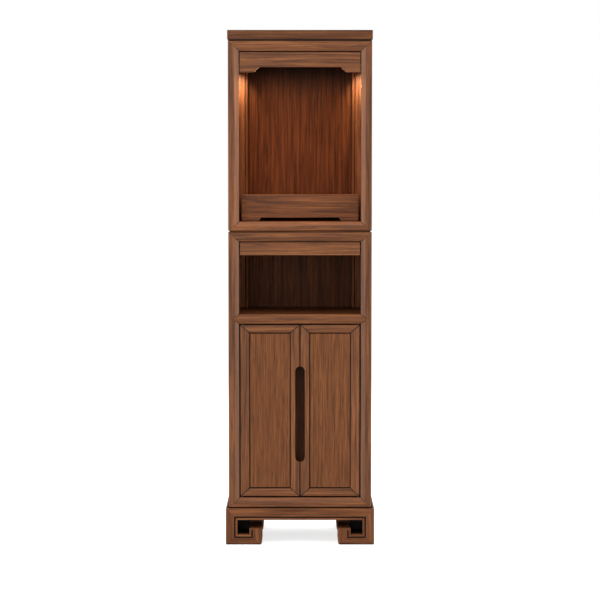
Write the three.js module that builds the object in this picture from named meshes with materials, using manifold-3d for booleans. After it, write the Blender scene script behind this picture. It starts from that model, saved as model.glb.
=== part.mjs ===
// A household altar cabinet in walnut: an altar niche above, an open recess with a pull-out board
// and a two-door cupboard below, on a base with fret-carved feet.
// Millimetres, +Z up. The front faces -Y, and the origin is on the floor under the middle.

import * as THREE from "three";
import { mergeVertices } from "three/addons/utils/BufferGeometryUtils.js";
import Module from "manifold-3d";

// Overall sizes
const BASE_WIDTH = 510;
const BASE_DEPTH = 400;
const BASE_HEIGHT = 126;
const BASE_LEDGE = 8; // the base beyond the bodies' front
const BASE_END_LEDGE = 10; // and beyond their sides
const LOWER_HEIGHT = 948.5;
const UPPER_HEIGHT = 644.2;
const TOP_THICKNESS = 31;
const TOP_OVERHANG = 2; // the top slab beyond the body, at the front and the sides
const SHADOW_GAP = 5; // height of the recessed joint above each body
const SHADOW_INSET = 4; // how far that joint lies in from the body's faces

// Gaps
const FIT = 0.3; // between pieces that touch
const MITRE_FIT = 0.8; // how far a mitred rail stops short of the joint line, along the rail
const CUT_PAST = 1; // how far a cutting shape runs past the face that it opens

// The bevelled front frames
const FRAME_THICKNESS = 24;
const FRAME_LIFT = 1; // the lower frame's bottom edge above the base
const FRAME_EDGE_RADIUS = 4;
const BEVEL_DEPTH = 8;
const STILE_FLAT = 21.5;
const STILE_BEVEL = 15;
const RAIL_FLAT = 18.5;
const RAIL_BEVEL = 15.5;
const UPPER_BOTTOM_RAIL_FLAT = 15;
const LOWER_TOP_RAIL_FLAT = 20.5;
const LOWER_TOP_RAIL_BEVEL = 11;
const MIDDLE_RAIL_FLAT = 11;
const MIDDLE_RAIL_BEVEL = 10.5;

// The carcass boards
const SIDE_THICKNESS = 20;
const BOARD_THICKNESS = 18;
const BACK_THICKNESS = 12;
const BACK_INSET = 4; // the back panel's face in from the sides' back edges
const RECESS_FLOOR_LEVEL = 667.5; // above the lower body's bottom

// The posts in the back corners
const POST_WIDTH = 39;
const POST_DEPTH = 31;
const POST_BEAD = 12;
const POST_QUIRK = 1.5; // how far the bead lies behind the post's face

// What is set into the frames: the valance, the offering board's front and the doors
const INSET_DEPTH = 9; // their faces behind the frame's face
const INSET_GAP = 3.2; // the gap beside them

// The valance and the lamp behind it
const VALANCE_HEIGHT = 68;
const VALANCE_TOP_GAP = 4;
const VALANCE_END_LENGTH = 48.5;
const VALANCE_RISE = 17.8; // the middle's lower edge above the ends'
const LAMP_BATTEN_THICKNESS = 14;
const LAMP_STRIP_HEIGHT = 8;
const LAMP_STRIP_WIDTH = 12;
const LAMP_LIFT = 3; // the strip's underside above the valance's middle edge

// The altar step
const STEP_END_GAP = 6; // its ends in from the frame's opening
const STEP_BACK_GAP = 5; // between it and the posts
const STEP_HEIGHT = 91.5;
const STEP_SETBACK = 115; // its front behind the frame's face
const STEP_BOARD = 15;
const STEP_FOOT_LENGTH = 60.5; // each of its feet beside the cut-out, on the floor
const STEP_CUT_HEIGHT = 11.5;
const STEP_CUT_SLOPE = 7;

// The pull-out offering board
const TRAY_FRONT_HEIGHT = 43.8;
const TRAY_FRONT_THICKNESS = 18;
const TRAY_THICKNESS = 15;
const TRAY_BACK_GAP = 17; // between the board and the posts
const TRAY_DROP = 1.2; // the board's face below its front's upper edge
const RUNNER_WIDTH = 28;
const RUNNER_HEIGHT = 20;
const RUNNER_END_GAP = 2; // between a runner and the post behind it

// The doors
const DOOR_THICKNESS = 20;
const DOOR_CENTRE_GAP = 2;
const DOOR_TOP_GAP = 4;
const DOOR_BOTTOM_GAP = 4;
const DOOR_STILE = 31;
const DOOR_RAIL = 27.5;
const DOOR_EDGE_RADIUS = 3;
const DOOR_BEVEL = 5;
const DOOR_BEVEL_DEPTH = 3;
const DOOR_REBATE = 8; // the rebate behind the frame's inner edge, in width and depth
const PANEL_GAP = 3; // the groove round the raised field
const PANEL_FACE_DEPTH = 4; // the field's face behind the door's face
const PANEL_TONGUE = 5;
const PANEL_PLAY = 1; // room for the tongue in the rebate
const SLOT_RADIUS = 16.5;
const SLOT_LENGTH = 331;
const SLOT_LIFT = 118.5; // the slot's lower end above the door's bottom edge
const PIVOT_INSET = 6; // the pivot's axis in from the door's outer edge and face
const PIVOT_RADIUS = 3;
const PIVOT_DEPTH = 8;
const PIVOT_CLEARANCE = 0.4;
const BATTEN_WIDTH = 60;
const BATTEN_THICKNESS = 12;
const FINGER_ROOM = 18; // between the doors and the batten behind the slot

// The base and its fret-carved feet
const BASE_RAIL_THICKNESS = 24;
const COVE_HEIGHT = 24; // the hollow moulding that stands on each end of the base
const COVE_EDGE = 1; // its thickness along its upper edge
const COVE_SETBACK = 12; // its front end behind the frame's face
const FRET_FLAT = 28;
const GROOVE_WIDTH = 5.5;
const GROOVE_DEPTH = 6;
const BEAD_WIDTH = 6.5;
const FOOT_WIDTH = 124;
const FOOT_DEPTH = 124;
const FOOT_OUTER_RADIUS = 4;
const FOOT_INNER_RADIUS = 8;
const TOE_HEIGHT = 35.3;
const HOOK_WIDTH = 43;
const HOOK_HEIGHT = 56.8;
const POCKET_WALL = 14; // the wood behind the fret

// Steps in each quarter of a rounded edge
const ARC_STEPS = 4;

// Places that follow from the sizes
const FRONT = -BASE_DEPTH / 2 + BASE_LEDGE;
const BACK = BASE_DEPTH / 2;
const BODY_HALF = BASE_WIDTH / 2 - BASE_END_LEDGE;
const ARRIS_HALF = BODY_HALF - STILE_FLAT;
const OPENING_HALF = ARRIS_HALF - STILE_BEVEL;
const FRAME_BACK = FRONT + FRAME_THICKNESS;
const CARCASS_FRONT = FRAME_BACK + FIT;
const CARCASS_HALF = BODY_HALF - SIDE_THICKNESS - FIT;
const BACK_FACE = BACK - BACK_INSET - BACK_THICKNESS;
const CARCASS_BACK = BACK_FACE - FIT;
const POST_FRONT = CARCASS_BACK - POST_DEPTH;
const INSET_HALF = OPENING_HALF - INSET_GAP;
const INSET_FACE = FRONT + INSET_DEPTH;
const LOWER_BOTTOM = BASE_HEIGHT + FIT;
const UPPER_BOTTOM = LOWER_BOTTOM + LOWER_HEIGHT + SHADOW_GAP;
const NICHE_FLOOR_LEVEL = UPPER_BOTTOM_RAIL_FLAT + RAIL_BEVEL;
const CUPBOARD_FLOOR_LEVEL = FRAME_LIFT + RAIL_FLAT + RAIL_BEVEL;
const MIDDLE_RAIL_BOTTOM = RECESS_FLOOR_LEVEL - MIDDLE_RAIL_FLAT - 2 * MIDDLE_RAIL_BEVEL;
const DOOR_WIDTH = INSET_HALF - DOOR_CENTRE_GAP / 2;
const DOOR_HEIGHT = MIDDLE_RAIL_BOTTOM - CUPBOARD_FLOOR_LEVEL - DOOR_TOP_GAP - DOOR_BOTTOM_GAP;
const FRET_BAND = FRET_FLAT + GROOVE_WIDTH + BEAD_WIDTH;
const FOOT_TOP = BASE_HEIGHT - FRET_BAND;

const SIDES = { left: -1, right: 1 };

const wasm = await Module();
wasm.setup();

// Turns a closed geometry into a solid that can be cut and joined.
function toSolid(geometry) {
  geometry.deleteAttribute("normal");
  geometry.deleteAttribute("uv");
  const merged = mergeVertices(geometry, 1e-4);
  return new wasm.Manifold(
    new wasm.Mesh({
      numProp: 3,
      vertProperties: merged.attributes.position.array,
      triVerts: new Uint32Array(merged.index.array),
    }),
  );
}

function block(low, high) {
  const [x, y, z] = high.map((value, i) => value - low[i]);
  const geometry = new THREE.BoxGeometry(x, y, z);
  geometry.translate(low[0] + x / 2, low[1] + y / 2, low[2] + z / 2);
  return toSolid(geometry);
}

const ALONG_X = new THREE.Vector3(1, 0, 0);
const ALONG_Y = new THREE.Vector3(0, 1, 0);
const ALONG_Z = new THREE.Vector3(0, 0, 1);
const TURNS = {
  x: new THREE.Matrix4().makeBasis(ALONG_Y, ALONG_Z, ALONG_X),
  y: new THREE.Matrix4().makeBasis(ALONG_X, ALONG_Z, ALONG_Y.clone().negate()),
  z: new THREE.Matrix4(),
};

// An outline swept along an axis, between two places on it. Along x the outline holds [y, z]
// points, along y it holds [x, z] and along z it holds [x, y].
function sweep(axis, outline, from, to) {
  const shape = new THREE.Shape(outline.map(([u, v]) => new THREE.Vector2(u, v)));
  const geometry = new THREE.ExtrudeGeometry(shape, { depth: to - from, bevelEnabled: false });
  geometry.applyMatrix4(TURNS[axis]);
  geometry.translate(axis === "x" ? from : 0, axis === "y" ? to : 0, axis === "z" ? from : 0);
  return toSolid(geometry);
}

// The points of a quarter arc, from one angle in degrees to another.
function arc(centreX, centreY, radius, from, to) {
  return Array.from({ length: ARC_STEPS + 1 }, (_, i) => {
    const angle = THREE.MathUtils.degToRad(from + ((to - from) * i) / ARC_STEPS);
    return [centreX + radius * Math.cos(angle), centreY + radius * Math.sin(angle)];
  });
}

function walnut(color) {
  return new THREE.MeshStandardMaterial({ color, roughness: 0.5, metalness: 0 });
}

const frameWood = () => walnut(0x80523a);
const panelWood = () => walnut(0x865840);
const nicheWood = () => walnut(0x6a3c24);
const recessWood = () => walnut(0x4a2c1c);
const baseWood = () => walnut(0x7c4e34);
const brass = () => new THREE.MeshStandardMaterial({ color: 0x5a4630, roughness: 0.45, metalness: 1 });
const diffuser = () => new THREE.MeshStandardMaterial({ color: 0xf6e3c4, roughness: 0.6, metalness: 0 });

function piece(name, solid, material) {
  const { vertProperties, triVerts } = solid.getMesh();
  const shared = new THREE.BufferGeometry();
  shared.setAttribute("position", new THREE.BufferAttribute(vertProperties, 3));
  shared.setIndex(new THREE.BufferAttribute(triVerts, 1));
  const geometry = shared.toNonIndexed();
  geometry.computeVertexNormals();
  const mesh = new THREE.Mesh(geometry, material);
  mesh.name = name;
  return mesh;
}

// Frames

// The section of a frame member: [distance from its outer edge, depth behind its face].
function edgeMemberSection(flat, bevel) {
  const radius = FRAME_EDGE_RADIUS;
  return [
    [0, FRAME_THICKNESS],
    ...arc(radius, radius, radius, 180, 270),
    [flat, 0],
    [flat + bevel, BEVEL_DEPTH],
    [flat + bevel, FRAME_THICKNESS],
  ];
}

// The section of the rail between two openings, bevelled on both edges.
function middleMemberSection() {
  const height = MIDDLE_RAIL_FLAT + 2 * MIDDLE_RAIL_BEVEL;
  return [
    [0, FRAME_THICKNESS],
    [0, BEVEL_DEPTH],
    [MIDDLE_RAIL_BEVEL, 0],
    [height - MIDDLE_RAIL_BEVEL, 0],
    [height, BEVEL_DEPTH],
    [height, FRAME_THICKNESS],
  ];
}

// The joint line at a corner on the +X side, seen from the front. It goes from the outer corner
// through the meeting point of the arrises to the inner corner.
function cornerLine(edge, direction, flat, bevel) {
  return [
    [BODY_HALF, edge],
    [ARRIS_HALF, edge + direction * flat],
    [OPENING_HALF, edge + direction * (flat + bevel)],
  ];
}

// The joint line at the +X end of the middle rail, a blunt arrow into the stile.
function arrowLine() {
  const top = RECESS_FLOOR_LEVEL;
  const bottom = MIDDLE_RAIL_BOTTOM;
  return [
    [OPENING_HALF, bottom],
    [ARRIS_HALF, bottom + MIDDLE_RAIL_BEVEL],
    [ARRIS_HALF + MIDDLE_RAIL_FLAT / 2, (top + bottom) / 2],
    [ARRIS_HALF, top - MIDDLE_RAIL_BEVEL],
    [OPENING_HALF, top],
  ];
}

// A rail's outline from the front, mirrored from the joint line at its +X end and held short of it.
function railOutline(line) {
  const right = line.map(([x, z]) => [x - MITRE_FIT, z]);
  const left = right.map(([x, z]) => [-x, z]).reverse();
  return [...right, ...left];
}

function frameRail(section, edge, direction, line) {
  const bar = section.map(([across, depth]) => [FRONT + depth, edge + direction * across]);
  const outline = railOutline(line);
  return sweep("x", bar, -BODY_HALF, BODY_HALF).intersect(
    sweep("y", outline, FRONT - CUT_PAST, FRAME_BACK + CUT_PAST),
  );
}

function frameStile(side, bottom, top, line) {
  const section = edgeMemberSection(STILE_FLAT, STILE_BEVEL);
  const bar = section.map(([across, depth]) => [side * (BODY_HALF - across), FRONT + depth]);
  const outline = line.map(([x, z]) => [side * x, z]);
  return sweep("z", bar, bottom, top).intersect(
    sweep("y", outline, FRONT - CUT_PAST, FRAME_BACK + CUT_PAST),
  );
}

// Carcass boards that both bodies have

// A board between the sides, from behind the frame to the back panel.
function shelf(bottom, top) {
  return block([-CARCASS_HALF, CARCASS_FRONT, bottom], [CARCASS_HALF, CARCASS_BACK, top]);
}

function sidePanel(side, height) {
  const outer = side * BODY_HALF;
  const inner = side * (BODY_HALF - SIDE_THICKNESS);
  return block(
    [Math.min(outer, inner), CARCASS_FRONT, 0],
    [Math.max(outer, inner), BACK, height],
  );
}

function backPanel(height) {
  return block([-CARCASS_HALF, BACK_FACE, 0], [CARCASS_HALF, BACK - BACK_INSET, height]);
}

// A post with a bead on its inner corner, set back behind the post's face by the quirk.
function cornerPost(side, bottom, top) {
  const beadRadius = POST_BEAD / 2;
  const outer = CARCASS_HALF;
  const inner = CARCASS_HALF - POST_WIDTH;
  const beadFront = POST_FRONT + POST_QUIRK;
  const outline = [
    [outer, CARCASS_BACK],
    [outer, POST_FRONT],
    [inner + POST_BEAD, POST_FRONT],
    ...arc(inner + beadRadius, beadFront + beadRadius, beadRadius, 0, -90),
    ...arc(inner + beadRadius, beadFront + beadRadius, beadRadius, -90, -180).slice(1),
    [inner, CARCASS_BACK],
  ];
  return sweep("z", outline.map(([x, y]) => [side * x, y]), bottom, top);
}

// The recessed plate over a body, which makes the shadow line.
function shadowPlate(bottom, top) {
  const half = BODY_HALF - SHADOW_INSET;
  return block([-half, FRONT + SHADOW_INSET, bottom], [half, BACK - SHADOW_INSET, top]);
}

// The upper body

function upperFrame() {
  const bottomLine = cornerLine(0, 1, UPPER_BOTTOM_RAIL_FLAT, RAIL_BEVEL);
  const topLine = cornerLine(UPPER_HEIGHT, -1, RAIL_FLAT, RAIL_BEVEL);
  const bottomSection = edgeMemberSection(UPPER_BOTTOM_RAIL_FLAT, RAIL_BEVEL);
  const topSection = edgeMemberSection(RAIL_FLAT, RAIL_BEVEL);
  const stileLine = [...bottomLine, ...topLine.toReversed()];
  return [
    piece("upper_frame_bottom", frameRail(bottomSection, 0, 1, bottomLine), frameWood()),
    piece("upper_frame_top", frameRail(topSection, UPPER_HEIGHT, -1, topLine), frameWood()),
    ...Object.entries(SIDES).map(([name, side]) =>
      piece(`upper_frame_${name}`, frameStile(side, 0, UPPER_HEIGHT, stileLine), frameWood()),
    ),
  ];
}

function topBoard() {
  const half = BODY_HALF + TOP_OVERHANG;
  const bottom = UPPER_HEIGHT + SHADOW_GAP;
  return block([-half, FRONT - TOP_OVERHANG, bottom], [half, BACK, bottom + TOP_THICKNESS]).add(
    shadowPlate(UPPER_HEIGHT + FIT, bottom + CUT_PAST),
  );
}

// The valance with its lower edge raised between the end blocks, and the lamp behind it.
function valanceAndLamp() {
  const top = UPPER_HEIGHT - RAIL_FLAT - RAIL_BEVEL - VALANCE_TOP_GAP;
  const bottom = top - VALANCE_HEIGHT;
  const middle = bottom + VALANCE_RISE;
  const endHalf = INSET_HALF - VALANCE_END_LENGTH;
  const rightHalf = [
    [endHalf - VALANCE_RISE, middle],
    [endHalf, bottom],
    [INSET_HALF, bottom],
    [INSET_HALF, top],
  ];
  const outline = [...rightHalf, ...rightHalf.toReversed().map(([x, z]) => [-x, z])];
  const battenBack = CARCASS_FRONT + LAMP_BATTEN_THICKNESS;
  const stripBottom = middle + LAMP_LIFT;
  const battenBottom = stripBottom + LAMP_STRIP_HEIGHT + FIT;
  const ceiling = UPPER_HEIGHT - BOARD_THICKNESS - FIT;
  const stripFront = (CARCASS_FRONT + battenBack - LAMP_STRIP_WIDTH) / 2;
  return [
    piece("valance", sweep("y", outline, INSET_FACE, FRAME_BACK), frameWood()),
    piece(
      "lamp_batten",
      block([-CARCASS_HALF, CARCASS_FRONT, battenBottom], [CARCASS_HALF, battenBack, ceiling]),
      nicheWood(),
    ),
    piece(
      "lamp_strip",
      block(
        [-endHalf, stripFront, stripBottom],
        [endHalf, stripFront + LAMP_STRIP_WIDTH, stripBottom + LAMP_STRIP_HEIGHT],
      ),
      diffuser(),
    ),
  ];
}

// The loose altar step: a front board with a low cut-out, a top board and two legs.
function altarStep() {
  const group = new THREE.Group();
  group.position.set(0, FRONT + STEP_SETBACK, NICHE_FLOOR_LEVEL + FIT);
  const half = OPENING_HALF - STEP_END_GAP;
  const cutHalf = half - STEP_FOOT_LENGTH;
  const depth = POST_FRONT - STEP_BACK_GAP - group.position.y;
  const rightHalf = [
    [cutHalf - STEP_CUT_SLOPE, STEP_CUT_HEIGHT],
    [cutHalf, 0],
    [half, 0],
    [half, STEP_HEIGHT],
  ];
  const outline = [...rightHalf, ...rightHalf.toReversed().map(([x, z]) => [-x, z])];
  const behindFront = STEP_BOARD + FIT;
  const underTop = STEP_HEIGHT - STEP_BOARD;
  group.add(
    piece("step_front", sweep("y", outline, 0, STEP_BOARD), nicheWood()),
    piece("step_top", block([-half, behindFront, underTop], [half, depth, STEP_HEIGHT]), nicheWood()),
  );
  for (const [name, side] of Object.entries(SIDES)) {
    const middle = side * (half - STEP_BOARD / 2);
    const leg = block(
      [middle - STEP_BOARD / 2, behindFront, 0],
      [middle + STEP_BOARD / 2, depth, underTop - FIT],
    );
    group.add(piece(`step_leg_${name}`, leg, nicheWood()));
  }
  return group;
}

function upperBody() {
  const group = new THREE.Group();
  group.position.z = UPPER_BOTTOM;
  const floorBottom = NICHE_FLOOR_LEVEL - BOARD_THICKNESS;
  const ceilingBottom = UPPER_HEIGHT - BOARD_THICKNESS;
  group.add(
    piece("top_board", topBoard(), frameWood()),
    piece("upper_ceiling", shelf(ceilingBottom, UPPER_HEIGHT), nicheWood()),
    piece("upper_floor", shelf(floorBottom, NICHE_FLOOR_LEVEL), nicheWood()),
    piece("upper_back", backPanel(UPPER_HEIGHT), nicheWood()),
    ...upperFrame(),
    ...valanceAndLamp(),
    altarStep(),
  );
  for (const [name, side] of Object.entries(SIDES)) {
    const post = cornerPost(side, NICHE_FLOOR_LEVEL + FIT, ceilingBottom - FIT);
    group.add(
      piece(`upper_side_${name}`, sidePanel(side, UPPER_HEIGHT), panelWood()),
      piece(`upper_post_${name}`, post, nicheWood()),
    );
  }
  return group;
}

// The lower body

// The upright rod that a door turns on, or with a clearance the hole that it turns in.
function pivotRod(x, y, bottom, top, clearance) {
  const radius = PIVOT_RADIUS + clearance;
  const geometry = new THREE.CylinderGeometry(radius, radius, top - bottom, 4 * ARC_STEPS);
  geometry.rotateX(Math.PI / 2);
  geometry.translate(x, y, (bottom + top) / 2);
  return toSolid(geometry);
}

// The pivots' holes in the lower frame, above and below both doors.
function pivotHoles() {
  const x = INSET_HALF - PIVOT_INSET;
  const y = INSET_FACE + PIVOT_INSET;
  const depth = PIVOT_DEPTH + CUT_PAST;
  const holes = Object.values(SIDES).flatMap((side) => [
    pivotRod(side * x, y, CUPBOARD_FLOOR_LEVEL - depth, CUPBOARD_FLOOR_LEVEL + CUT_PAST, PIVOT_CLEARANCE),
    pivotRod(side * x, y, MIDDLE_RAIL_BOTTOM - CUT_PAST, MIDDLE_RAIL_BOTTOM + depth, PIVOT_CLEARANCE),
  ]);
  return holes.reduce((all, hole) => all.add(hole));
}

function lowerFrame() {
  const bottomLine = cornerLine(FRAME_LIFT, 1, RAIL_FLAT, RAIL_BEVEL);
  const topLine = cornerLine(LOWER_HEIGHT, -1, LOWER_TOP_RAIL_FLAT, LOWER_TOP_RAIL_BEVEL);
  const stileLine = [...bottomLine, ...arrowLine(), ...topLine.toReversed()];
  const bottomSection = edgeMemberSection(RAIL_FLAT, RAIL_BEVEL);
  const topSection = edgeMemberSection(LOWER_TOP_RAIL_FLAT, LOWER_TOP_RAIL_BEVEL);
  const holes = pivotHoles();
  const bottom = frameRail(bottomSection, FRAME_LIFT, 1, bottomLine).subtract(holes);
  const middle = frameRail(middleMemberSection(), MIDDLE_RAIL_BOTTOM, 1, arrowLine()).subtract(holes);
  return [
    piece("lower_frame_bottom", bottom, frameWood()),
    piece("lower_frame_middle", middle, frameWood()),
    piece("lower_frame_top", frameRail(topSection, LOWER_HEIGHT, -1, topLine), frameWood()),
    ...Object.entries(SIDES).map(([name, side]) =>
      piece(`lower_frame_${name}`, frameStile(side, FRAME_LIFT, LOWER_HEIGHT, stileLine), frameWood()),
    ),
  ];
}

// The lower body's top board, with the recessed plate that the upper body stands on.
function lowerTop() {
  const plateTop = LOWER_HEIGHT + SHADOW_GAP - FIT;
  return shelf(LOWER_HEIGHT - BOARD_THICKNESS, plateTop).add(shadowPlate(LOWER_HEIGHT + FIT, plateTop));
}

// The pull-out board with its front, and the runners that it slides on.
function offeringBoard() {
  const frontTop = LOWER_HEIGHT - LOWER_TOP_RAIL_FLAT - LOWER_TOP_RAIL_BEVEL - INSET_GAP;
  const frontBack = INSET_FACE + TRAY_FRONT_THICKNESS;
  const boardTop = frontTop - TRAY_DROP;
  const boardBottom = boardTop - TRAY_THICKNESS;
  const boardFront = frontBack + FIT;
  const front = block(
    [-INSET_HALF, INSET_FACE, frontTop - TRAY_FRONT_HEIGHT],
    [INSET_HALF, frontBack, frontTop],
  );
  const board = block(
    [-INSET_HALF, boardFront, boardBottom],
    [INSET_HALF, POST_FRONT - TRAY_BACK_GAP, boardTop],
  );
  const runners = Object.entries(SIDES).map(([name, side]) => {
    const middle = side * (CARCASS_HALF - RUNNER_WIDTH / 2);
    const top = boardBottom - FIT;
    const runner = block(
      [middle - RUNNER_WIDTH / 2, boardFront, top - RUNNER_HEIGHT],
      [middle + RUNNER_WIDTH / 2, POST_FRONT - RUNNER_END_GAP, top],
    );
    return piece(`runner_${name}`, runner, recessWood());
  });
  return [
    piece("offering_board_front", front, frameWood()),
    piece("offering_board", board, panelWood()),
    ...runners,
  ];
}

// The upright board behind the doors' meeting edges, which shows through the finger slot.
function centreBatten() {
  const front = INSET_FACE + DOOR_THICKNESS + FINGER_ROOM;
  const half = BATTEN_WIDTH / 2;
  return block(
    [-half, front, CUPBOARD_FLOOR_LEVEL + FIT],
    [half, front + BATTEN_THICKNESS, RECESS_FLOOR_LEVEL - BOARD_THICKNESS - FIT],
  );
}

// A door's members in its own frame: across from its outer edge, depth behind its face, and up
// from its bottom edge.

// The section of a door member: [distance from its outer edge, depth behind the door's face].
function doorSection(width) {
  const radius = DOOR_EDGE_RADIUS;
  const rebateDepth = DOOR_THICKNESS - DOOR_REBATE;
  return [
    [0, DOOR_THICKNESS],
    ...arc(radius, radius, radius, 180, 270),
    [width - DOOR_BEVEL, 0],
    [width, DOOR_BEVEL_DEPTH],
    [width, rebateDepth],
    [width - DOOR_REBATE, rebateDepth],
    [width - DOOR_REBATE, DOOR_THICKNESS],
  ];
}

// The outline of the upright or level members on one edge of the door, from the front. Their ends
// are mitred through the outer corner, the arrises' meeting point and the inner corner.
function doorMemberOutline(length, ownWidth, otherWidth, shortfall) {
  const start = [
    [0, shortfall],
    [ownWidth - DOOR_BEVEL, otherWidth - DOOR_BEVEL + shortfall],
    [ownWidth, otherWidth + shortfall],
  ];
  return [...start, ...start.toReversed().map(([across, along]) => [across, length - along])];
}

// The finger slot's outline, a round-ended slot on the cabinet's middle line.
function slotOutline() {
  const middle = DOOR_WIDTH + DOOR_CENTRE_GAP / 2;
  const low = SLOT_LIFT + SLOT_RADIUS;
  const high = SLOT_LIFT + SLOT_LENGTH - SLOT_RADIUS;
  return [
    ...arc(middle, low, SLOT_RADIUS, 180, 270),
    ...arc(middle, low, SLOT_RADIUS, 270, 360).slice(1),
    ...arc(middle, high, SLOT_RADIUS, 0, 90),
    ...arc(middle, high, SLOT_RADIUS, 90, 180).slice(1),
  ];
}

// The panel: a raised field with a groove round it, on a tongue that fills the rebate.
function doorPanel(toX) {
  const tongueFront = DOOR_THICKNESS - DOOR_REBATE + FIT;
  const plate = (spread, front, back) => {
    const xs = [DOOR_STILE - spread, DOOR_WIDTH - DOOR_STILE + spread].map(toX);
    return block(
      [Math.min(...xs), front, DOOR_RAIL - spread],
      [Math.max(...xs), back, DOOR_HEIGHT - DOOR_RAIL + spread],
    );
  };
  return plate(-PANEL_GAP, PANEL_FACE_DEPTH, tongueFront + PANEL_TONGUE).add(
    plate(DOOR_REBATE - PANEL_PLAY, tongueFront, tongueFront + PANEL_TONGUE),
  );
}

function door(name, side) {
  const group = new THREE.Group();
  group.position.set(side * INSET_HALF, INSET_FACE, CUPBOARD_FLOOR_LEVEL + DOOR_BOTTOM_GAP);
  const toX = (across) => -side * across;
  const past = DOOR_THICKNESS + CUT_PAST;

  const uprightOutline = doorMemberOutline(DOOR_HEIGHT, DOOR_STILE, DOOR_RAIL, 0);
  const levelOutline = doorMemberOutline(DOOR_WIDTH, DOOR_RAIL, DOOR_STILE, MITRE_FIT);
  const stile = (fromEdge) => {
    const bar = doorSection(DOOR_STILE).map(([across, depth]) => [toX(fromEdge(across)), depth]);
    const outline = uprightOutline.map(([across, up]) => [toX(fromEdge(across)), up]);
    return sweep("z", bar, 0, DOOR_HEIGHT).intersect(sweep("y", outline, -CUT_PAST, past));
  };
  const rail = (fromEdge) => {
    const bar = doorSection(DOOR_RAIL).map(([up, depth]) => [depth, fromEdge(up)]);
    const outline = levelOutline.map(([up, across]) => [toX(across), fromEdge(up)]);
    const ends = [0, DOOR_WIDTH].map(toX);
    return sweep("x", bar, Math.min(...ends), Math.max(...ends)).intersect(
      sweep("y", outline, -CUT_PAST, past),
    );
  };

  const rods = (clearance, extra) => ({
    bottom: pivotRod(
      toX(PIVOT_INSET),
      PIVOT_INSET,
      -DOOR_BOTTOM_GAP - PIVOT_DEPTH,
      PIVOT_DEPTH + extra,
      clearance,
    ),
    top: pivotRod(
      toX(PIVOT_INSET),
      PIVOT_INSET,
      DOOR_HEIGHT - PIVOT_DEPTH - extra,
      DOOR_HEIGHT + DOOR_TOP_GAP + PIVOT_DEPTH,
      clearance,
    ),
  });
  const pins = rods(0, 0);
  const { bottom: lowHole, top: highHole } = rods(PIVOT_CLEARANCE, CUT_PAST);
  const slot = sweep("y", slotOutline().map(([across, up]) => [toX(across), up]), -CUT_PAST, past);

  const fromOuter = (across) => across;
  const fromInner = (across) => DOOR_WIDTH - across;
  const fromTop = (up) => DOOR_HEIGHT - up;
  const outerStile = stile(fromOuter).subtract(lowHole).subtract(highHole);
  group.add(
    piece(`door_${name}_stile_outer`, outerStile, frameWood()),
    piece(`door_${name}_stile_inner`, stile(fromInner).subtract(slot), frameWood()),
    piece(`door_${name}_rail_bottom`, rail(fromOuter).subtract(lowHole), frameWood()),
    piece(`door_${name}_rail_top`, rail(fromTop).subtract(highHole), frameWood()),
    piece(`door_${name}_panel`, doorPanel(toX), panelWood()),
    piece(`door_${name}_pivot_bottom`, pins.bottom, brass()),
    piece(`door_${name}_pivot_top`, pins.top, brass()),
  );
  return group;
}

function lowerBody() {
  const group = new THREE.Group();
  group.position.z = LOWER_BOTTOM;
  group.add(
    piece("lower_top", lowerTop(), recessWood()),
    piece("recess_floor", shelf(RECESS_FLOOR_LEVEL - BOARD_THICKNESS, RECESS_FLOOR_LEVEL), recessWood()),
    piece(
      "cupboard_floor",
      shelf(CUPBOARD_FLOOR_LEVEL - BOARD_THICKNESS, CUPBOARD_FLOOR_LEVEL),
      recessWood(),
    ),
    piece("lower_back", backPanel(LOWER_HEIGHT), recessWood()),
    piece("centre_batten", centreBatten(), recessWood()),
    ...lowerFrame(),
    ...offeringBoard(),
  );
  for (const [name, side] of Object.entries(SIDES)) {
    const post = cornerPost(side, RECESS_FLOOR_LEVEL + FIT, LOWER_HEIGHT - BOARD_THICKNESS - FIT);
    group.add(
      piece(`lower_side_${name}`, sidePanel(side, LOWER_HEIGHT), panelWood()),
      piece(`lower_post_${name}`, post, recessWood()),
      door(name, side),
    );
  }
  return group;
}

// The base

// A foot's outline from the front or the side: [distance from its outer face, height]. Its outer
// corner rises to the base's top in a mitre that meets the rail.
function footOutline(length) {
  return [
    [FRET_BAND + FIT, FOOT_TOP - FIT],
    [0, BASE_HEIGHT],
    ...arc(FOOT_OUTER_RADIUS, FOOT_OUTER_RADIUS, FOOT_OUTER_RADIUS, 180, 270),
    ...arc(length - FOOT_INNER_RADIUS, FOOT_INNER_RADIUS, FOOT_INNER_RADIUS, 270, 360),
    [length, FOOT_TOP - FIT],
  ];
}

function footBlock(sideX, sideY) {
  const alongX = footOutline(FOOT_WIDTH).map(([across, up]) => [sideX * (BASE_WIDTH / 2 - across), up]);
  const alongY = footOutline(FOOT_DEPTH).map(([across, up]) => [sideY * (BASE_DEPTH / 2 - across), up]);
  return sweep("y", alongX, -BASE_DEPTH / 2, BASE_DEPTH / 2).intersect(
    sweep("x", alongY, -BASE_WIDTH / 2, BASE_WIDTH / 2),
  );
}

// The fret's hollow in a front foot: the square eye, and the way out of it over the hook.
function fretPocket(side) {
  const hookStart = FOOT_WIDTH - HOOK_WIDTH;
  const past = FOOT_WIDTH + CUT_PAST;
  const outline = [
    [FRET_BAND, TOE_HEIGHT],
    [hookStart, TOE_HEIGHT],
    [hookStart, HOOK_HEIGHT],
    [past, HOOK_HEIGHT],
    [past, BASE_HEIGHT],
    [FRET_BAND, BASE_HEIGHT],
  ].map(([across, up]) => [side * (BASE_WIDTH / 2 - across), up]);
  const front = -BASE_DEPTH / 2;
  return sweep("y", outline, front - CUT_PAST, front + FOOT_DEPTH - POCKET_WALL);
}

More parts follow.
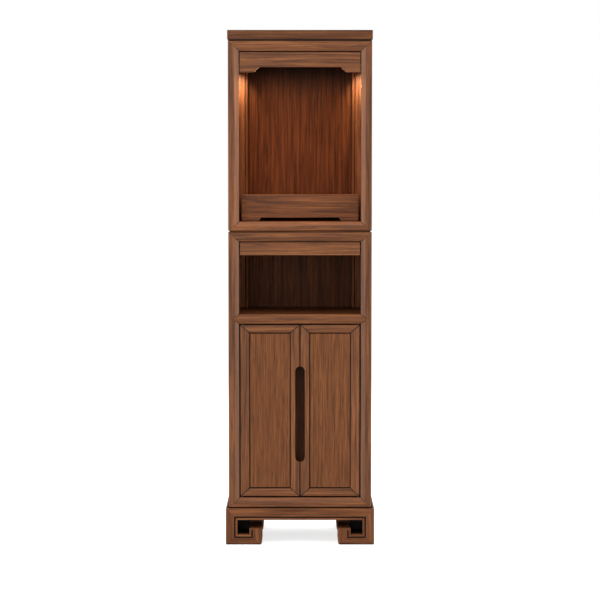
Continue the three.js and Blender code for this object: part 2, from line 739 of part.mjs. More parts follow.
// The groove on the base's front, which follows one foot's fret and half of the rail.
function fretGroove(side) {
  const railHigh = BASE_HEIGHT - FRET_FLAT;
  const railLow = railHigh - GROOVE_WIDTH;
  const legFar = FRET_FLAT + GROOVE_WIDTH;
  const toeHigh = TOE_HEIGHT - BEAD_WIDTH;
  const toeLow = toeHigh - GROOVE_WIDTH;
  const hookNear = FOOT_WIDTH - HOOK_WIDTH + BEAD_WIDTH;
  const hookFar = hookNear + GROOVE_WIDTH;
  const hookHigh = HOOK_HEIGHT - BEAD_WIDTH;
  const middle = BASE_WIDTH / 2 + CUT_PAST;
  const outline = [
    [middle, railHigh],
    [FRET_FLAT, railHigh],
    [FRET_FLAT, toeLow],
    [hookFar, toeLow],
    [hookFar, hookHigh],
    [hookNear, hookHigh],
    [hookNear, toeHigh],
    [legFar, toeHigh],
    [legFar, railLow],
    [middle, railLow],
  ].map(([across, up]) => [side * (BASE_WIDTH / 2 - across), up]);
  const front = -BASE_DEPTH / 2;
  return sweep("y", outline, front - CUT_PAST, front + GROOVE_DEPTH);
}

// The plainer groove on one end of the base, an arch round the gap between the feet.
function archGroove(side) {
  const legFar = BASE_DEPTH / 2 - FOOT_DEPTH + BEAD_WIDTH;
  const high = BASE_HEIGHT - FRET_FLAT;
  const frontHalf = [
    [-legFar, -CUT_PAST],
    [-legFar, high - GROOVE_WIDTH],
  ];
  const outerHalf = [
    [-legFar - GROOVE_WIDTH, high],
    [-legFar - GROOVE_WIDTH, -CUT_PAST],
  ];
  const mirror = ([y, z]) => [-y, z];
  const outline = [
    ...frontHalf,
    ...frontHalf.toReversed().map(mirror),
    ...outerHalf.toReversed().map(mirror),
    ...outerHalf,
  ];
  const face = (side * BASE_WIDTH) / 2;
  const ends = [face + side * CUT_PAST, face - side * GROOVE_DEPTH];
  return sweep("x", outline, Math.min(...ends), Math.max(...ends));
}

// A rail along x or y, mitred to the feet in elevation and to its neighbours in plan.
function baseRail(axis, length, depth, side) {
  const half = length / 2;
  const elevation = [
    [half - MITRE_FIT, BASE_HEIGHT],
    [half - FRET_BAND - MITRE_FIT, FOOT_TOP],
  ];
  const plan = [
    [half - MITRE_FIT / 2, (side * depth) / 2],
    [half - BASE_RAIL_THICKNESS - MITRE_FIT / 2, side * (depth / 2 - BASE_RAIL_THICKNESS)],
  ];
  const bothEnds = (line) => [...line, ...line.toReversed().map(([along, other]) => [-along, other])];
  const face = bothEnds(elevation);
  const top = bothEnds(plan);
  const acrossPlan = axis === "x" ? top : top.map(([along, out]) => [out, along]);
  return sweep(axis === "x" ? "y" : "x", face, -depth / 2, depth / 2).intersect(
    sweep("z", acrossPlan, 0, BASE_HEIGHT),
  );
}

// The hollow moulding on one end of the base, against the lower body's side.
function coveMoulding(side) {
  const outer = BASE_WIDTH / 2;
  const inner = BODY_HALF + FIT;
  const width = outer - inner - COVE_EDGE;
  const hollow = arc(0, 0, 1, 180, 270).map(([u, v]) => [
    outer + width * u,
    BASE_HEIGHT + COVE_HEIGHT * (1 + v),
  ]);
  const outline = [
    [inner, BASE_HEIGHT - CUT_PAST],
    [inner, BASE_HEIGHT + COVE_HEIGHT],
    ...hollow,
    [outer, BASE_HEIGHT - CUT_PAST],
  ];
  const back = BACK - (outer - BODY_HALF) - MITRE_FIT;
  return sweep("y", outline.map(([x, z]) => [side * x, z]), FRONT + COVE_SETBACK, back);
}

function base() {
  const group = new THREE.Group();
  const fret = Object.values(SIDES).map(fretGroove).reduce((all, groove) => all.add(groove));
  const frontRail = baseRail("x", BASE_WIDTH, BASE_DEPTH, -1).subtract(fret);
  group.add(
    piece("base_rail_front", frontRail, baseWood()),
    piece("base_rail_back", baseRail("x", BASE_WIDTH, BASE_DEPTH, 1), baseWood()),
  );
  for (const [name, side] of Object.entries(SIDES)) {
    const arch = archGroove(side);
    const frontFoot = footBlock(side, -1).subtract(fretPocket(side)).subtract(fret).subtract(arch);
    const rail = baseRail("y", BASE_DEPTH, BASE_WIDTH, side).subtract(arch).add(coveMoulding(side));
    group.add(
      piece(`base_rail_${name}`, rail, baseWood()),
      piece(`foot_front_${name}`, frontFoot, baseWood()),
      piece(`foot_back_${name}`, footBlock(side, 1).subtract(arch), baseWood()),
    );
  }
  return group;
}

const cabinet = new THREE.Group();
cabinet.add(base(), lowerBody(), upperBody());

export default cabinet;
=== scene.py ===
"""The looks of a household altar cabinet: walnut under a satin lacquer, lit inside its niche by a
warm lamp behind the valance. All lengths are in metres."""

import math
from typing import NamedTuple

import bmesh
import bpy
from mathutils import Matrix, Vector


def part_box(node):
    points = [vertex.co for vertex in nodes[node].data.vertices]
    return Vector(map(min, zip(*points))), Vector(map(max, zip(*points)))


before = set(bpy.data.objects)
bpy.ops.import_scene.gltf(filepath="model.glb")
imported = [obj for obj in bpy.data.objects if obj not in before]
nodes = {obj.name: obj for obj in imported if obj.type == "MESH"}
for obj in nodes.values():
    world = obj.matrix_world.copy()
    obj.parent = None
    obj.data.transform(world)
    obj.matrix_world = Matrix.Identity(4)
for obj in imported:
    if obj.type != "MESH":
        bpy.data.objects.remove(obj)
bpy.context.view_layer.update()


# Shader helpers

# The numbers of a Mix node's sockets: the two that it mixes, and its result
MIX_SOCKETS = {"RGBA": (6, 7, 2), "VECTOR": (4, 5, 1)}


def srgb(red, green, blue):
    """An 8-bit sRGB colour as the linear values that a colour socket takes."""

    def linear(level):
        level /= 255
        return level / 12.92 if level <= 0.04045 else ((level + 0.055) / 1.055) ** 2.4

    return linear(red), linear(green), linear(blue), 1.0


def fill(tree, node, sockets):
    """Gives a node's sockets values or other nodes' outputs."""
    for name, value in sockets.items():
        if isinstance(value, bpy.types.NodeSocket):
            tree.links.new(value, node.inputs[name])
        else:
            node.inputs[name].default_value = value


def add(tree, kind, sockets=None, **settings):
    """A new node with its settings and filled sockets."""
    node = tree.nodes.new("ShaderNode" + kind)
    for name, value in settings.items():
        setattr(node, name, value)
    fill(tree, node, sockets or {})
    return node


def calculate(tree, operation, first, second=0.0):
    """The result of a Math node."""
    return add(tree, "Math", {0: first, 1: second}, operation=operation).outputs[0]


def multiply(tree, first, *others):
    """The product of some values."""
    for other in others:
        first = calculate(tree, "MULTIPLY", first, other)
    return first


def weighted_sum(tree, *terms):
    """The sum of some values, each times its weight."""
    total, *products = (multiply(tree, value, weight) for value, weight in terms)
    for product in products:
        total = calculate(tree, "ADD", total, product)
    return total


def fade(tree, value, low, high):
    """0 where the value is below low, 1 where it is above high, and a soft step between them."""
    sockets = {"Value": value, "From Min": low, "From Max": high}
    return add(tree, "MapRange", sockets, interpolation_type="SMOOTHSTEP").outputs[0]


def fade_out(tree, value, low, high):
    """1 where the value is below low, 0 where it is above high, and a soft step between them."""
    return calculate(tree, "SUBTRACT", 1.0, fade(tree, value, low, high))


def blend(tree, factor, first, second, kind="RGBA", mode="MIX"):
    """The result of a Mix node, for colours or for vectors."""
    first_socket, second_socket, result = MIX_SOCKETS[kind]
    sockets = {0: factor, first_socket: first, second_socket: second}
    return add(tree, "Mix", sockets, data_type=kind, blend_type=mode).outputs[result]


def noise(tree, vector, scale, detail, roughness=0.5):
    """The level of a Noise Texture, around 0.5."""
    sockets = {"Vector": vector, "Scale": scale, "Detail": detail, "Roughness": roughness}
    return add(tree, "TexNoise", sockets).outputs[0]


def own_place(tree):
    """A place on a piece in its own coordinates, which are the row's own while it is at rest."""
    return add(tree, "TexCoord").outputs["Object"]


def split(tree, vector):
    """A vector's X, Y and Z."""
    return add(tree, "SeparateXYZ", {0: vector}).outputs


def new_group(name, inputs, outputs):
    """A shader node group with named sockets, and what its inputs bring in."""
    group = bpy.data.node_groups.new(name, "ShaderNodeTree")
    for in_out, sockets in (("INPUT", inputs), ("OUTPUT", outputs)):
        for socket, kind in sockets.items():
            group.interface.new_socket(socket, in_out=in_out, socket_type="NodeSocket" + kind)
    return group, group.nodes.new("NodeGroupInput").outputs


def put_out(group, values):
    """Joins values to the group's named outputs."""
    fill(group, group.nodes.new("NodeGroupOutput"), values)


def new_material(name):
    """A material that has only its shader yet."""
    material = bpy.data.materials.new(name)
    material.use_nodes = True
    return material


def shade(tree, sockets):
    """Fills sockets of a material's Principled BSDF."""
    fill(tree, tree.nodes["Principled BSDF"], sockets)


# Walnut

# How strong the grain is where each tone is pure
DARK_STRENGTH = 0.40
MIDDLE_STRENGTH = 0.50
LIGHT_STRENGTH = 0.60

# The levels of noise between which the late wood's dark lines fade out and the open pores come in
LATE_WOOD_LEVELS = (0.34, 0.43)
PORE_LEVELS = (0.60, 0.72)
LATE_WOOD_SHADE = 0.6
PORE_SHADE = 0.5
STREAK_HEIGHT = 0.35

# How near to a corner painted shade darkens the wood and to an arris wear and a painted highlight
# lighten it, and between which shares of open space around a place each of them fades
CORNER_REACH = 0.006
CORNER_LEVELS = (0.65, 0.98)
ARRIS_REACH = 0.0022
ARRIS_LEVELS = (0.40, 0.95)
EDGE_SAMPLES = 6

# How far sideways a face leans, from 0 to 1, where it starts to count and fully counts as a bevel,
# and the same for a side. The bevels get a painted sheen.
BEVEL_LEAN = (0.17, 0.37)
SIDE_LEAN = (0.8, 0.95)

# The painted sheen's colour, which lightens the sideways bevels
PAINTED_BEVEL_SHEEN = srgb(170, 136, 114)
# The darkest tone that painted shade and the doors' mitre lines blend the wood towards
DEEPEST_TONE = 0.25  # as a share of a finish's dark tone
LACQUER_ROUGHNESS = 0.38
STREAK_ROUGHNESS = 0.22
PORE_ROUGHNESS = 0.15
RELIEF_STRENGTH = 0.22
RELIEF_DEPTH = 0.0006


def walnut_group():
    """Walnut's figure, streaks and pores, on board coordinates that have the grain along X."""
    group, given = new_group(
        "Walnut grain",
        {
            "Board": "Vector",
            "Wave": "Float",
            "Figure scale": "Float",
            "Dark": "Color",
            "Middle": "Color",
            "Light": "Color",
        },
        {"Colour": "Color", "Pores": "Float", "Streaks": "Float", "Height": "Float"},
    )
    board, figure_scale, dark = given["Board"], given["Figure scale"], given["Dark"]

    def along_grain(place, squeeze, scale, detail, roughness=0.5):
        """Noise that is drawn out along the grain: the smaller the squeeze, the longer it is."""
        sockets = {0: place, 1: (squeeze, 1.0, 1.0)}
        squeezed = add(group, "VectorMath", sockets, operation="MULTIPLY").outputs[0]
        return noise(group, squeezed, scale, detail, roughness)

    # The grain wanders across the board in long waves.
    drift = along_grain(board, squeeze=0.45, scale=6.0, detail=2.0)
    shift = multiply(group, calculate(group, "SUBTRACT", drift, 0.5), given["Wave"])
    offset = add(group, "CombineXYZ", {"Y": shift, "Z": shift}).outputs[0]
    waved = add(group, "VectorMath", {0: board, 1: offset}, operation="ADD").outputs[0]

    figure = along_grain(waved, squeeze=0.045, scale=figure_scale, detail=4.0, roughness=0.6)
    streaks = along_grain(waved, squeeze=0.016, scale=230.0, detail=3.0, roughness=0.6)
    cloud = along_grain(board, squeeze=0.4, scale=5.0, detail=1.0)
    fleck = along_grain(waved, squeeze=0.018, scale=820.0, detail=1.0)

    # The tone follows the figure and the streaks, and a little also broad clouds.
    strength = weighted_sum(group, (figure, 0.46), (streaks, 0.42), (cloud, 0.12))
    middle_share = fade(group, strength, DARK_STRENGTH, MIDDLE_STRENGTH)
    light_share = fade(group, strength, MIDDLE_STRENGTH, LIGHT_STRENGTH)
    colour = blend(group, middle_share, dark, given["Middle"])
    colour = blend(group, light_share, colour, given["Light"])

    # The darkest lines of the late wood, and the open pores as fine dark dashes.
    late_wood = fade_out(group, figure, *LATE_WOOD_LEVELS)
    colour = blend(group, multiply(group, late_wood, LATE_WOOD_SHADE), colour, dark)
    pores = fade(group, fleck, *PORE_LEVELS)
    colour = blend(group, multiply(group, pores, PORE_SHADE), colour, dark, mode="MULTIPLY")

    height = calculate(group, "SUBTRACT", multiply(group, streaks, STREAK_HEIGHT), pores)
    put_out(group, {"Colour": colour, "Pores": pores, "Streaks": streaks, "Height": height})
    return group


def edges_group():
    """Painted shade in corners, wear and a painted highlight on arrises, painted sheen on bevels.
    """
    masks = {"Corner": "Float", "Arris": "Float", "Bevel": "Float"}
    group, _ = new_group("Corners, arrises and bevels", {}, masks)

    def openness(reach, inside=False):
        sockets = {"Distance": reach}
        node = add(group, "AmbientOcclusion", sockets, samples=EDGE_SAMPLES, inside=inside)
        return node.outputs["AO"]

    facing = add(group, "TexCoord").outputs["Normal"]
    sideways = calculate(group, "ABSOLUTE", split(group, facing)["X"])
    leaning = fade(group, sideways, *BEVEL_LEAN)
    bevel = multiply(group, leaning, fade_out(group, sideways, *SIDE_LEAN))
    put_out(
        group,
        {
            "Corner": fade_out(group, openness(CORNER_REACH), *CORNER_LEVELS),
            "Arris": fade_out(group, openness(ARRIS_REACH, inside=True), *ARRIS_LEVELS),
            "Bevel": bevel,
        },
    )
    return group


WALNUT = walnut_group()
EDGES = edges_group()


class Finish(NamedTuple):
    """The wood and lacquer of some pieces. The three tones are 8-bit sRGB colours."""

    dark: tuple
    middle: tuple
    light: tuple
    wave: float  # how far the grain wanders across a board
    figure_scale: float  # the higher, the finer the figure is
    sheen: float  # the lacquer's specular level
    # painted shade in the corners:
    corner_shade: float  # how much the corners darken
    # wear and a painted highlight on the arrises:
    arris_wear_and_highlight: float = 0.2  # how much the arrises lighten
    # painted sheen on the bevels:
    bevel_painted_sheen: float = 0.0  # how much the bevels lighten


FINISHES = {
    "frame": Finish(
        (86, 47, 21), (118, 69, 34), (145, 88, 47),
        wave=0.016, figure_scale=80.0, sheen=0.36, corner_shade=0.9, bevel_painted_sheen=0.2,
    ),
    # A darker copy of the frame's walnut: painted shade on the uprights
    "upright": Finish(
        (82, 44, 19), (112, 64, 31), (137, 82, 43),
        wave=0.016, figure_scale=80.0, sheen=0.36, corner_shade=0.9, bevel_painted_sheen=0.2,
    ),
    "door": Finish(
        (84, 46, 20), (115, 67, 33), (141, 86, 46),
        wave=0.016, figure_scale=80.0, sheen=0.36, corner_shade=1.0, arris_wear_and_highlight=0.1,
    ),
    "panel": Finish(
        (92, 54, 28), (116, 69, 37), (134, 82, 47),
        wave=0.003, figure_scale=230.0, sheen=0.2, corner_shade=0.9,
    ),
    "post": Finish(
        (84, 48, 26), (116, 69, 39), (140, 87, 52),
        wave=0.006, figure_scale=80.0, sheen=0.2, corner_shade=0.35,
    ),
    # Darker walnut: painted shade inside the niche
    "niche": Finish(
        (70, 34, 15), (94, 49, 23), (116, 64, 32),
        wave=0.006, figure_scale=120.0, sheen=0.1, corner_shade=0.5,
    ),
    # Darker walnut: painted shade inside the recess
    "recess": Finish(
        (82, 46, 23), (108, 61, 32), (130, 77, 43),
        wave=0.006, figure_scale=100.0, sheen=0.12, corner_shade=0.5,
    ),
    # Lighter walnut: painted light on the recess's posts
    "recess post": Finish(
        (104, 60, 34), (138, 83, 49), (164, 103, 63),
        wave=0.006, figure_scale=80.0, sheen=0.2, corner_shade=0.5, arris_wear_and_highlight=0.3,
    ),
    # Much darker walnut: painted shade inside the cupboard
    "inside": Finish(
        (44, 20, 7), (66, 32, 12), (86, 46, 19),
        wave=0.006, figure_scale=100.0, sheen=0.12, corner_shade=0.5,
    ),
    "base": Finish(
        (84, 46, 23), (113, 66, 35), (138, 85, 49),
        wave=0.014, figure_scale=80.0, sheen=0.25, corner_shade=0.95,
    ),
    "top": Finish(
        (68, 36, 15), (92, 52, 24), (116, 69, 35),
        wave=0.014, figure_scale=80.0, sheen=0.25, corner_shade=0.9,
    ),
}

# How a Mapping node turns a piece's own coordinates so that its grain lies along X
GRAIN_TURNS = {
    "x": (0.0, 0.0, 0.0),
    "y": (0.0, 0.0, -math.pi / 2),
    "z": (0.0, math.pi / 2, 0.0),
}
BOARD_STEP = (0.37, 0.61, 0.83)  # how far apart two boards lie in the grain


def board_coordinates(tree, grain, board):
    """A piece's own coordinates, turned to its grain and moved so that no two boards look alike."""
    offset = tuple(board * step for step in BOARD_STEP)
    sockets = {"Vector": own_place(tree), "Location": offset, "Rotation": GRAIN_TURNS[grain]}
    return add(tree, "Mapping", sockets).outputs[0]


def finish_with(material, finish, board, extra_darkening=0.0):
    """Joins the walnut and edge groups to the material's shader. The extra darkening (painted shade
    on some pieces, dark mitre lines on the doors) darkens it further.
    """
    tree = material.node_tree
    look = FINISHES[finish]
    light = srgb(*look.light)
    sockets = {
        "Board": board,
        "Wave": look.wave,
        "Figure scale": look.figure_scale,
        "Dark": srgb(*look.dark),
        "Middle": srgb(*look.middle),
        "Light": light,
    }
    grain = add(tree, "Group", sockets, node_tree=WALNUT).outputs
    edges = add(tree, "Group", node_tree=EDGES).outputs

    # Wear and painted highlight on arrises, painted sheen on bevels, painted shade in corners.
    colour = blend(tree, multiply(tree, edges["Arris"], look.arris_wear_and_highlight), grain["Colour"], light)
    painted_sheen = multiply(tree, edges["Bevel"], look.bevel_painted_sheen)
    colour = blend(tree, painted_sheen, colour, PAINTED_BEVEL_SHEEN)
    darkness = multiply(tree, edges["Corner"], look.corner_shade)
    darkness = calculate(tree, "MAXIMUM", darkness, extra_darkening)
    colour = blend(tree, darkness, colour, srgb(*(level * DEEPEST_TONE for level in look.dark)))

    terms = (grain["Streaks"], STREAK_ROUGHNESS), (grain["Pores"], PORE_ROUGHNESS)
    roughness = calculate(tree, "ADD", weighted_sum(tree, *terms), LACQUER_ROUGHNESS)
    relief = {"Strength": RELIEF_STRENGTH, "Distance": RELIEF_DEPTH, "Height": grain["Height"]}
    shade(
        tree,
        {
            "Base Color": colour,
            "Roughness": roughness,
            "Specular IOR Level": look.sheen,
            "Normal": add(tree, "Bump", relief).outputs[0],
        },
    )


def walnut_material(name, finish, grain, board):
    """Plain walnut, with its grain along the given axis."""
    material = new_material(name)
    finish_with(material, finish, board_coordinates(material.node_tree, grain, board))
    return material


# The front foot's fret, from its outer side inwards: the leg, the toe and the hook
BASE_HALF_WIDTH = 0.255
LEG_WIDTH = 0.040
TOE_HEIGHT = 0.0353
FOOT_WIDTH = 0.124
HOOK_WIDTH = 0.043
FRET_FRONT = -0.200
EYE_SHADOW_DEPTHS = (0.002, 0.05)
EYE_MARGIN = 0.001  # so that the eye's own walls count as in it


def fret_material(name, board):
    """Walnut whose grain stands in the leg and the hook, and lies in the toe between two mitres."""
    material = new_material(name)
    tree = material.node_tree
    axes = split(tree, own_place(tree))
    inwards = calculate(tree, "SUBTRACT", BASE_HALF_WIDTH, calculate(tree, "ABSOLUTE", axes["X"]))
    outwards = calculate(tree, "SUBTRACT", FOOT_WIDTH, inwards)
    in_leg = calculate(tree, "DIVIDE", inwards, LEG_WIDTH)
    in_hook = calculate(tree, "DIVIDE", outwards, HOOK_WIDTH)
    across = calculate(tree, "MINIMUM", in_leg, in_hook)
    upwards = calculate(tree, "DIVIDE", axes["Z"], TOE_HEIGHT)
    lying = calculate(tree, "GREATER_THAN", across, upwards)
    standing_board = board_coordinates(tree, "z", board)
    lying_board = board_coordinates(tree, "x", board + 0.5)
    coordinates = blend(tree, lying, standing_board, lying_board, kind="VECTOR")

    # Painted shade: the fret's eye is darker the further in it is.
    extra_darkening = fade(tree, axes["Y"], *(FRET_FRONT + depth for depth in EYE_SHADOW_DEPTHS))
    for distance, edge in ((inwards, LEG_WIDTH), (axes["Z"], TOE_HEIGHT)):
        beyond = calculate(tree, "GREATER_THAN", distance, edge - EYE_MARGIN)
        extra_darkening = multiply(tree, extra_darkening, beyond)
    within = calculate(tree, "LESS_THAN", inwards, FOOT_WIDTH - HOOK_WIDTH + EYE_MARGIN)
    finish_with(material, "base", coordinates, multiply(tree, extra_darkening, within))
    return material


# Between which distances the dark line in a door's mitre fades, with the member's width as 1
MITRE_LINE = (0.045, 0.09)
MITRE_SHADE = 0.95


def inwards_by_width(tree, place, low, high, member):
    """How far in a place is from the nearer of two edges, with the width of a member as 1."""
    from_low = calculate(tree, "SUBTRACT", place, low)
    from_high = calculate(tree, "SUBTRACT", high, place)
    return calculate(tree, "DIVIDE", calculate(tree, "MINIMUM", from_low, from_high), member)


def mitred_material(name, side, grain, board):
    """Walnut of a door's frame, with a dark line of old finish in each of its four mitres."""
    material = new_material(name)
    tree = material.node_tree
    outer_low, outer_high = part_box(f"door_{side}_stile_outer")
    inner_low, inner_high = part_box(f"door_{side}_stile_inner")
    rail_low, rail_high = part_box(f"door_{side}_rail_top")
    left, right = min(outer_low.x, inner_low.x), max(outer_high.x, inner_high.x)
    stile, rail = outer_high.x - outer_low.x, rail_high.z - rail_low.z

    axes = split(tree, own_place(tree))
    across = inwards_by_width(tree, axes["X"], left, right, stile)
    upwards = inwards_by_width(tree, axes["Z"], outer_low.z, outer_high.z, rail)
    from_mitre = calculate(tree, "ABSOLUTE", calculate(tree, "SUBTRACT", across, upwards))
    on_stile = calculate(tree, "LESS_THAN", across, 1.0)
    line = multiply(tree, fade_out(tree, from_mitre, *MITRE_LINE), on_stile, MITRE_SHADE)
    finish_with(material, "door", board_coordinates(tree, grain, board), line)
    return material


# Painted shade under the ceiling comes in between these heights, and only on the back's inner face.
PAINTED_SHADE_HEIGHTS = (1.54, 1.66)
PAINTED_SHADE_STRENGTH = 0.85
PAINTED_SHADE_DEPTH = 0.001


def back_with_painted_shade(name, board):
    """The niche's back, with painted shade darkening it under the ceiling."""
    material = new_material(name)
    tree = material.node_tree
    axes = split(tree, own_place(tree))
    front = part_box("upper_back")[0].y
    inner_face = calculate(tree, "LESS_THAN", axes["Y"], front + PAINTED_SHADE_DEPTH)
    painted_shade = multiply(tree, fade(tree, axes["Z"], *PAINTED_SHADE_HEIGHTS), PAINTED_SHADE_STRENGTH, inner_face)
    finish_with(material, "niche", board_coordinates(tree, "z", board), painted_shade)
    return material


# Brass and the lamp's cover

BRASS_ROUGHNESS = 0.2
BRASS_UNEVENNESS = 0.3
LAMP_GLOW = 0.5


def brass_material():
    """Darkened brass with a fine, uneven polish."""
    material = new_material("Darkened brass")
    tree = material.node_tree
    polish = noise(tree, own_place(tree), scale=900.0, detail=3.0)
    uneven = multiply(tree, polish, BRASS_UNEVENNESS)
    shade(
        tree,
        {
            "Base Color": blend(tree, polish, srgb(72, 54, 36), srgb(104, 82, 56)),
            "Metallic": 1.0,
            "Roughness": calculate(tree, "ADD", uneven, BRASS_ROUGHNESS),
        },
    )
    return material


def diffuser_material():
    """The lamp's frosted cover, which glows softly."""
    material = new_material("Glowing diffuser")
    tree = material.node_tree
    frost = noise(tree, own_place(tree), scale=400.0, detail=3.0)
    shade(
        tree,
        {
            "Base Color": blend(tree, frost, srgb(240, 222, 190), srgb(252, 240, 216)),
            "Emission Color": blend(tree, frost, srgb(255, 190, 118), srgb(255, 206, 140)),
            "Emission Strength": LAMP_GLOW,
        },
    )
    return material


# The pieces

# Which finish and grain each piece has. The doors' frames, the front feet, the niche's back, the
# pivots and the lamp have materials of their own.
PIECES = {
    "frame": {
        "x": [
            "valance", "offering_board_front", "step_front", "step_top",
            "upper_frame_top", "upper_frame_bottom",
            "lower_frame_top", "lower_frame_middle", "lower_frame_bottom",
        ],
    },
    "upright": {
        "z": ["upper_frame_left", "upper_frame_right", "lower_frame_left", "lower_frame_right"],
    },
    "post": {
        "z": ["upper_post_left", "upper_post_right"],
    },
    "panel": {
        "x": ["offering_board"],
        "z": [
            "door_left_panel", "door_right_panel",
            "upper_side_left", "upper_side_right", "lower_side_left", "lower_side_right",
        ],
    },
    "niche": {
        "x": ["upper_ceiling", "upper_floor", "lamp_batten"],
        "y": ["step_leg_left", "step_leg_right"],
    },
    "recess": {
        "x": ["lower_top", "recess_floor"],
        "z": ["lower_back"],
    },
    "recess post": {
        "z": ["lower_post_left", "lower_post_right"],
    },
    "inside": {
        "x": ["cupboard_floor"],
        "y": ["runner_left", "runner_right"],
        "z": ["centre_batten"],
    },
    "base": {
        "x": ["base_rail_front", "base_rail_back"],
        "y": ["base_rail_left", "base_rail_right"],
        "z": ["foot_back_left", "foot_back_right"],
    },
    "top": {
        "x": ["top_board"],
    },
}
DOOR_MEMBERS = {"stile_outer": "z", "stile_inner": "z", "rail_top": "x", "rail_bottom": "x"}

ARRIS_WIDTH = 0.0011
DOOR_ARRIS_WIDTH = 0.0015
LAMP_ARRIS_WIDTH = 0.001
PIVOT_ARRIS_WIDTH = 0.0003
WELD_DISTANCE = 0.00001


def ease_arrises(piece, width):
    """Rounds a piece's arrises a little, as sanding does."""
    weld = piece.modifiers.new("Join the faces", "WELD")
    weld.merge_threshold = WELD_DISTANCE
    ease = piece.modifiers.new("Eased arrises", "BEVEL")
    ease.width = width
    ease.segments = 2
    ease.limit_method = "ANGLE"
    ease.angle_limit = math.radians(30)
    ease.harden_normals = False


def dress(name, material, arris_width=ARRIS_WIDTH):
    """Gives a piece its material and its eased arrises."""
    piece = nodes[name]
    piece.data.materials.clear()
    piece.data.materials.append(material)
    ease_arrises(piece, arris_width)


def dress_pieces():
    """Dresses all pieces, and numbers the boards so that each has a grain of its own."""
    board = 1
    for finish, by_grain in PIECES.items():
        for grain, names in by_grain.items():
            for name in names:
                title = name.replace("_", " ").capitalize() + " walnut"
                dress(name, walnut_material(title, finish, grain, board))
                board += 1
    for side in ("left", "right"):
        dress(f"foot_front_{side}", fret_material(f"Fret foot {side} walnut", board))
        board += 1
    dress("upper_back", back_with_painted_shade("Upper back walnut", board))
    brass = brass_material()
    for side in ("left", "right"):
        for member, grain in DOOR_MEMBERS.items():
            title = f"Door {side} {member} walnut".replace("_", " ")
            material = mitred_material(title, side, grain, board)
            dress(f"door_{side}_{member}", material, DOOR_ARRIS_WIDTH)
            board += 1
        for end in ("top", "bottom"):
            dress(f"door_{side}_pivot_{end}", brass, PIVOT_ARRIS_WIDTH)
    dress("lamp_strip", diffuser_material(), LAMP_ARRIS_WIDTH)


# Floor, light and camera

WHITE = (1.0, 1.0, 1.0)
FLOOR_RADIUS = 40.0
FLOOR_GREY = 0.88
FLOOR_LIFT = 0.72  # how much brighter the camera sees the floor than the lights make it
ROOM_LIGHT = 0.5  # how strongly the room lights the cabinet, where the camera sees it at 1

# Each light of the studio: where it hangs, its width and height, its watts and its colour
STUDIO_LIGHTS = {
    "Left light": ((-3.3, -2.2, 2.2), (1.4, 2.4), 48.0, (1.0, 0.98, 0.95)),
    "Right light": ((3.3, -2.2, 2.2), (1.4, 2.4), 44.0, WHITE),
    "Upper light": ((0.0, -3.0, 4.0), (2.4, 1.4), 38.0, WHITE),
    "Front light": ((-0.9, -4.4, 1.5), (1.2, 1.2), 16.0, WHITE),
    "Back light": ((0.0, 3.6, 2.8), (3.0, 2.0), 90.0, WHITE),
}
CABINET_MIDDLE = (0.0, 0.0, 0.9)

# The lamp behind the valance shines down from just below its strip, and a little backwards.
LAMP_WATTS = 2.5
LAMP_COLOUR = (1.0, 0.66, 0.36)
LAMP_GAP = 0.002
LAMP_DIRECTION = Vector((0.0, 0.01, -0.4))

# A small glow lights the top of each post in the niche, from in front of it.
GLOW_WATTS = 0.135
GLOW_COLOUR = (1.0, 0.79, 0.54)
GLOW_SIZE = 0.02
GLOW_SPREAD = 70
GLOW_HEIGHT = 1.64
GLOW_TARGET_HEIGHT = 1.56
GLOW_DISTANCE = 0.08
GLOW_OUTWARDS = 1.1  # it aims a little outwards of the post's middle

# The photograph's view: on the middle line, a little above the recess and tilted down
CAMERA_LENS = 114.35
CAMERA_SENSOR = 36.0
CAMERA_PLACE = (0.0, -6.692, 1.253)
CAMERA_TARGET = (0.0, -0.192, 0.8434)


def make_floor():
    """A wide pale floor, which the camera sees almost white."""
    shape = bmesh.new()
    bmesh.ops.create_circle(shape, cap_ends=True, radius=FLOOR_RADIUS, segments=96)
    mesh = bpy.data.meshes.new("floor")
    shape.to_mesh(mesh)
    shape.free()
    floor = bpy.data.objects.new("floor", mesh)
    bpy.context.scene.collection.objects.link(floor)
    material = new_material("Pale floor")
    tree = material.node_tree
    seen = add(tree, "LightPath").outputs["Is Camera Ray"]
    shade(
        tree,
        {
            "Base Color": (FLOOR_GREY, FLOOR_GREY, FLOOR_GREY, 1.0),
            "Roughness": 0.9,
            "Emission Color": (*WHITE, 1.0),
            "Emission Strength": multiply(tree, seen, FLOOR_LIFT),
        },
    )
    mesh.materials.append(material)


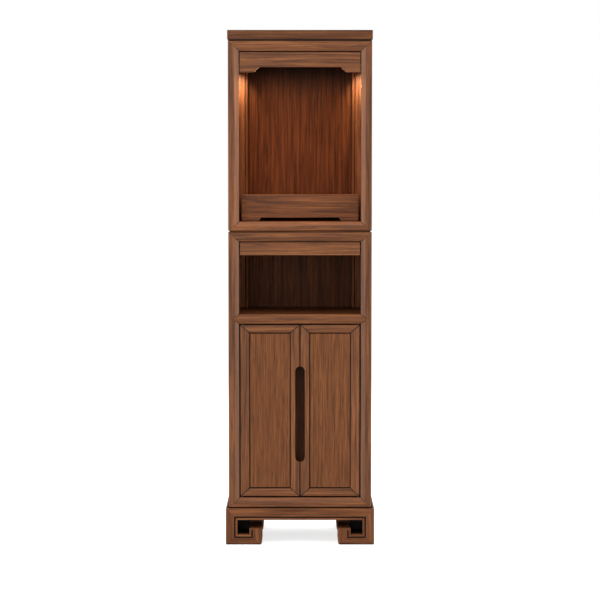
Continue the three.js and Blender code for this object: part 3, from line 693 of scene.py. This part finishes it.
def make_world():
    """A white room that lights softly and is seen at its full brightness."""
    world = bpy.data.worlds.new("White room")
    world.use_nodes = True
    tree = world.node_tree
    seen = add(tree, "LightPath").outputs["Is Camera Ray"]
    sockets = {"Value": seen, "To Min": ROOM_LIGHT, "To Max": 1.0}
    strength = add(tree, "MapRange", sockets).outputs[0]
    fill(tree, tree.nodes["Background"], {"Color": (*WHITE, 1.0), "Strength": strength})
    bpy.context.scene.world = world


def aim(thing, target):
    """Turns a light or camera towards a place."""
    direction = Vector(target) - thing.location
    thing.rotation_euler = direction.to_track_quat("-Z", "Y").to_euler()


def area_light(name, place, target, size, watts, colour, spread=180):
    """A rectangular light that the camera doesn't see."""
    light = bpy.data.lights.new(name, "AREA")
    light.shape = "RECTANGLE"
    light.size, light.size_y = size
    light.energy = watts
    light.color = colour
    light.spread = math.radians(spread)
    lamp = bpy.data.objects.new(name, light)
    lamp.location = place
    lamp.visible_camera = False
    bpy.context.scene.collection.objects.link(lamp)
    aim(lamp, target)


def make_lights():
    """The studio's lights, the lamp behind the valance and the glow on the posts."""
    for name, (place, size, watts, colour) in STUDIO_LIGHTS.items():
        area_light(name, place, CABINET_MIDDLE, size, watts, colour)

    low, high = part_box("lamp_strip")
    under = Vector(((low.x + high.x) / 2, (low.y + high.y) / 2, low.z - LAMP_GAP))
    size = (high.x - low.x, high.y - low.y)
    target = under + LAMP_DIRECTION
    area_light("Lamp behind the valance", under, target, size, LAMP_WATTS, LAMP_COLOUR)

    for side in ("left", "right"):
        low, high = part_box(f"upper_post_{side}")
        middle = (low.x + high.x) / 2
        area_light(
            f"Glow over the {side} post",
            (middle, low.y - GLOW_DISTANCE, GLOW_HEIGHT),
            (middle * GLOW_OUTWARDS, low.y, GLOW_TARGET_HEIGHT),
            (GLOW_SIZE, GLOW_SIZE),
            GLOW_WATTS,
            GLOW_COLOUR,
            GLOW_SPREAD,
        )


def make_camera():
    """The camera in the photograph's place."""
    camera = bpy.data.objects.new("Camera", bpy.data.cameras.new("Camera"))
    camera.data.lens = CAMERA_LENS
    camera.data.sensor_width = CAMERA_SENSOR
    camera.location = CAMERA_PLACE
    aim(camera, CAMERA_TARGET)
    bpy.context.scene.collection.objects.link(camera)
    bpy.context.scene.camera = camera


dress_pieces()
make_floor()
make_world()
make_lights()
make_camera()
bpy.context.scene.view_settings.view_transform = "Standard"
